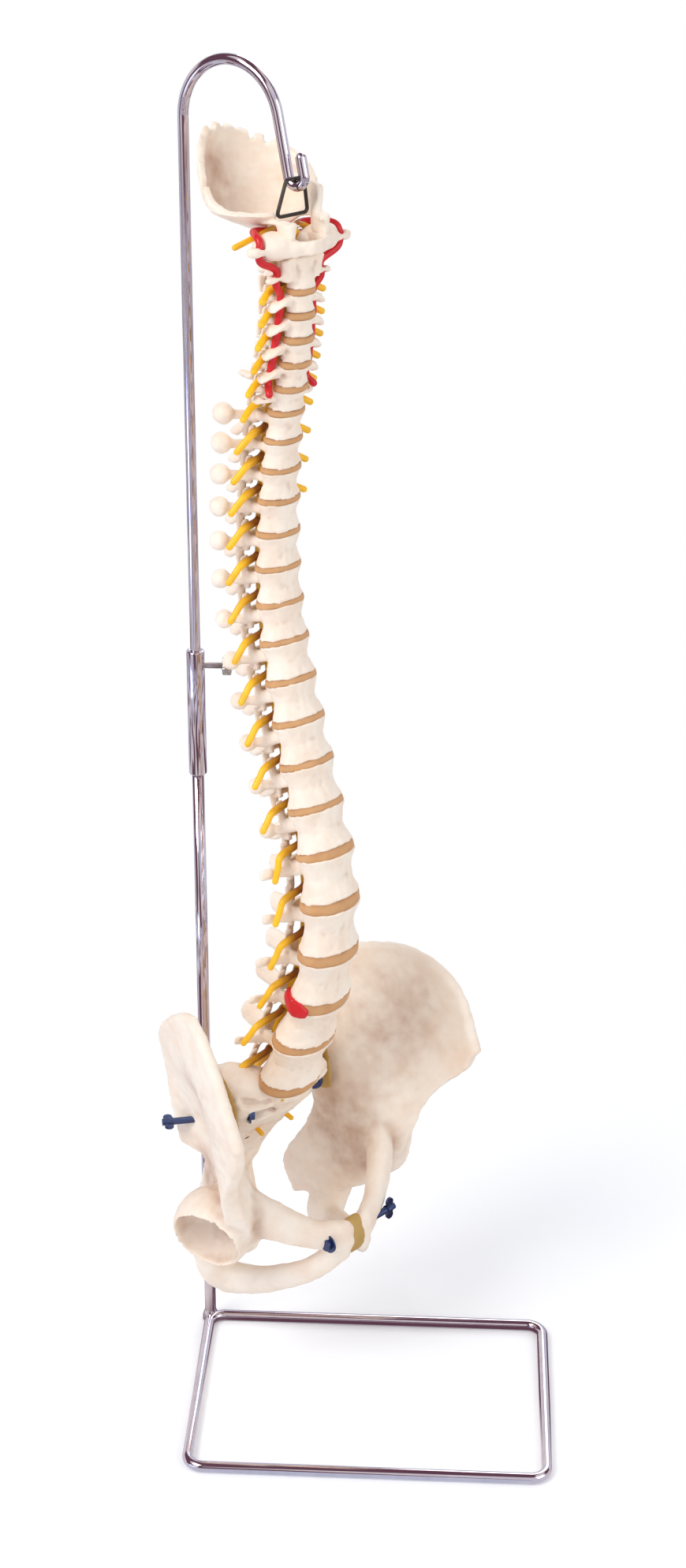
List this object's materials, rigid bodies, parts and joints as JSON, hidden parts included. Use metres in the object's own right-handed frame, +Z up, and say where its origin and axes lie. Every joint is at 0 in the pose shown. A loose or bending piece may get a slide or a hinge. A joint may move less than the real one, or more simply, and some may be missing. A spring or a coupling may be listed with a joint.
{
  "type": "flexible spine anatomy model",
  "caption": "Life-size flexible teaching spine with pelvis and skull base plate, hung from the hook of a chrome rod stand.",
  "frame": {"origin": "on the table at the centre of the stand's base", "axes": "+X right and +Y away from someone who faces the stand, +Z up along the upright"},
  "size_m": [0.2887, 0.2389, 0.9565],
  "materials": {
    "bone": "matt cast plastic, ivory",
    "disc": "soft tan",
    "cartilage": "soft tan",
    "nerve": "soft yellow",
    "vessel": "soft red",
    "chrome": "polished",
    "nickel": "polished, knurled",
    "wire": "dark drawn wire",
    "bolt": "dark"
  },
  "bodies": {
    "stand": {"base_frame": "chrome"},
    "thumbscrew": {"thumbscrew": "nickel"},
    "hanger": {"hanger_rod": "chrome", "hanging_loop": "wire", "occipital_plate": "bone", "spinal_cord": "nerve", "vertebral_arteries": "vessel"},
    "c1": {"c1": "bone"},
    "c2": {"c2": "bone"},
    "c3": {"c3": "bone", "disc_c2_c3": "disc"},
    "c4": {"c4": "bone", "disc_c3_c4": "disc"},
    "c5": {"c5": "bone", "disc_c4_c5": "disc"},
    "c6": {"c6": "bone", "disc_c5_c6": "disc"},
    "c7": {"c7": "bone", "disc_c6_c7": "disc"},
    "t1": {"t1": "bone", "disc_c7_t1": "disc"},
    "t2": {"t2": "bone", "disc_t1_t2": "disc"},
    "t3": {"t3": "bone", "disc_t2_t3": "disc"},
    "t4": {"t4": "bone", "disc_t3_t4": "disc"},
    "t5": {"t5": "bone", "disc_t4_t5": "disc"},
    "t6": {"t6": "bone", "disc_t5_t6": "disc"},
    "t7": {"t7": "bone", "disc_t6_t7": "disc"},
    "t8": {"t8": "bone", "disc_t7_t8": "disc"},
    "t9": {"t9": "bone", "disc_t8_t9": "disc"},
    "t10": {"t10": "bone", "disc_t9_t10": "disc"},
    "t11": {"t11": "bone", "disc_t10_t11": "disc"},
    "t12": {"t12": "bone", "disc_t11_t12": "disc"},
    "l1": {"l1": "bone", "disc_t12_l1": "disc"},
    "l2": {"l2": "bone", "disc_l1_l2": "disc"},
    "l3": {"l3": "bone", "disc_l2_l3": "disc"},
    "l4": {"l4": "bone", "disc_l3_l4": "disc"},
    "l5": {"l5": "bone", "disc_l4_l5": "disc"},
    "pelvis": {"sacrum": "bone", "left_hip_bone": "bone", "right_hip_bone": "bone", "pelvic_cartilages": "cartilage", "pelvis_bolts": "bolt", "wing_nuts": "bolt", "disc_l5_s1": "disc"}
  },
  "joints": [
    {"name": "thumbscrew_turn", "type": "hinge", "parent": "stand", "child": "thumbscrew", "pos_m": [-0.1285, 0.0885, 0.547], "axis": [1, 0, 0], "continuous": true},
    {"name": "hanger_height", "type": "slide", "parent": "stand", "child": "hanger", "axis": [0, 0, 1], "range_m": [0, 0.035]},
    {"name": "head_nod", "type": "hinge", "parent": "hanger", "child": "c1", "pos_m": [-0.05001, 0.03515, 0.85262], "axis": [-0.6652, -0.7466, 0], "range_deg": [0, 1.5], "deforming": ["spinal_cord", "vertebral_arteries"]},
    {"name": "atlas_turn", "type": "hinge", "parent": "c1", "child": "c2", "pos_m": [-0.05007, 0.0352, 0.84737], "axis": [0, 0, 1], "range_deg": [-3, 3]},
    {"name": "bend_c2_c3", "type": "hinge", "parent": "c2", "child": "c3", "pos_m": [-0.05175, 0.0367, 0.81962], "axis": [-0.6652, -0.7466, 0], "range_deg": [0, 2.5], "deforming": ["disc_c2_c3"]},
    {"name": "bend_c3_c4", "type": "hinge", "parent": "c3", "child": "c4", "pos_m": [-0.05233, 0.03722, 0.80464], "axis": [-0.6652, -0.7466, 0], "range_deg": [0, 2.5], "deforming": ["disc_c3_c4"]},
    {"name": "bend_c4_c5", "type": "hinge", "parent": "c4", "child": "c5", "pos_m": [-0.05367, 0.03842, 0.78929], "axis": [-0.6652, -0.7466, 0], "range_deg": [0, 2.5], "deforming": ["disc_c4_c5"]},
    {"name": "bend_c5_c6", "type": "hinge", "parent": "c5", "child": "c6", "pos_m": [-0.05581, 0.04032, 0.77358], "axis": [-0.6652, -0.7466, 0], "range_deg": [0, 2.5], "deforming": ["disc_c5_c6"]},
    {"name": "bend_c6_c7", "type": "hinge", "parent": "c6", "child": "c7", "pos_m": [-0.05879, 0.04297, 0.75761], "axis": [-0.6652, -0.7466, 0], "range_deg": [0, 2.5], "deforming": ["disc_c6_c7"]},
    {"name": "bend_c7_t1", "type": "hinge", "parent": "c7", "child": "t1", "pos_m": [-0.06185, 0.0457, 0.74115], "axis": [-0.6652, -0.7466, 0], "range_deg": [0, 1.5], "deforming": ["disc_c7_t1"]},
    {"name": "bend_t1_t2", "type": "hinge", "parent": "t1", "child": "t2", "pos_m": [-0.0641, 0.04771, 0.72209], "axis": [-0.6652, -0.7466, 0], "range_deg": [0, 1.5], "deforming": ["disc_t1_t2"]},
    {"name": "bend_t2_t3", "type": "hinge", "parent": "t2", "child": "t3", "pos_m": [-0.06593, 0.04934, 0.70214], "axis": [-0.6652, -0.7466, 0], "range_deg": [0, 1.5], "deforming": ["disc_t2_t3"]},
    {"name": "bend_t3_t4", "type": "hinge", "parent": "t3", "child": "t4", "pos_m": [-0.06732, 0.05057, 0.68094], "axis": [-0.6652, -0.7466, 0], "range_deg": [0, 1.5], "deforming": ["disc_t3_t4"]},
    {"name": "bend_t4_t5", "type": "hinge", "parent": "t4", "child": "t5", "pos_m": [-0.0682, 0.05135, 0.6585], "axis": [-0.6652, -0.7466, 0], "range_deg": [0, 1.5], "deforming": ["disc_t4_t5"]},
    {"name": "bend_t5_t6", "type": "hinge", "parent": "t5", "child": "t6", "pos_m": [-0.0685, 0.05163, 0.63486], "axis": [-0.6652, -0.7466, 0], "range_deg": [0, 1.5], "deforming": ["disc_t5_t6"]},
    {"name": "bend_t6_t7", "type": "hinge", "parent": "t6", "child": "t7", "pos_m": [-0.06732, 0.05057, 0.61008], "axis": [-0.6652, -0.7466, 0], "range_deg": [0, 1.5], "deforming": ["disc_t6_t7"]},
    {"name": "bend_t7_t8", "type": "hinge", "parent": "t7", "child": "t8", "pos_m": [-0.0645, 0.04806, 0.58435], "axis": [-0.6652, -0.7466, 0], "range_deg": [0, 1.5], "deforming": ["disc_t7_t8"]},
    {"name": "bend_t8_t9", "type": "hinge", "parent": "t8", "child": "t9", "pos_m": [-0.05994, 0.044, 0.55786], "axis": [-0.6652, -0.7466, 0], "range_deg": [0, 1.5], "deforming": ["disc_t8_t9"]},
    {"name": "bend_t9_t10", "type": "hinge", "parent": "t9", "child": "t10", "pos_m": [-0.05481, 0.03943, 0.53033], "axis": [-0.6652, -0.7466, 0], "range_deg": [0, 1.5], "deforming": ["disc_t9_t10"]},
    {"name": "bend_t10_t11", "type": "hinge", "parent": "t10", "child": "t11", "pos_m": [-0.0491, 0.03434, 0.50178], "axis": [-0.6652, -0.7466, 0], "range_deg": [0, 1.5], "deforming": ["disc_t10_t11"]},
    {"name": "bend_t11_t12", "type": "hinge", "parent": "t11", "child": "t12", "pos_m": [-0.04277, 0.0287, 0.47223], "axis": [-0.6652, -0.7466, 0], "range_deg": [0, 1.5], "deforming": ["disc_t11_t12"]},
    {"name": "bend_t12_l1", "type": "hinge", "parent": "t12", "child": "l1", "pos_m": [-0.03581, 0.0225, 0.44171], "axis": [-0.6652, -0.7466, 0], "range_deg": [0, 2.5], "deforming": ["disc_t12_l1"]},
    {"name": "bend_l1_l2", "type": "hinge", "parent": "l1", "child": "l2", "pos_m": [-0.03227, 0.01935, 0.40577], "axis": [-0.6652, -0.7466, 0], "range_deg": [0, 2.5], "deforming": ["disc_l1_l2"]},
    {"name": "bend_l2_l3", "type": "hinge", "parent": "l2", "child": "l3", "pos_m": [-0.03328, 0.02024, 0.36723], "axis": [-0.6652, -0.7466, 0], "range_deg": [0, 2.5], "deforming": ["disc_l2_l3"]},
    {"name": "bend_l3_l4", "type": "hinge", "parent": "l3", "child": "l4", "pos_m": [-0.03946, 0.02575, 0.32829], "axis": [-0.6652, -0.7466, 0], "range_deg": [0, 2.5], "deforming": ["disc_l3_l4"]},
    {"name": "bend_l4_l5", "type": "hinge", "parent": "l4", "child": "l5", "pos_m": [-0.05094, 0.03598, 0.29022], "axis": [-0.6652, -0.7466, 0], "range_deg": [0, 2.5], "deforming": ["disc_l4_l5"]},
    {"name": "bend_l5_s1", "type": "hinge", "parent": "l5", "child": "pelvis", "pos_m": [-0.06175, 0.04561, 0.25046], "axis": [-0.6652, -0.7466, 0], "range_deg": [0, 2.5], "deforming": ["disc_l5_s1"]}
  ]
}
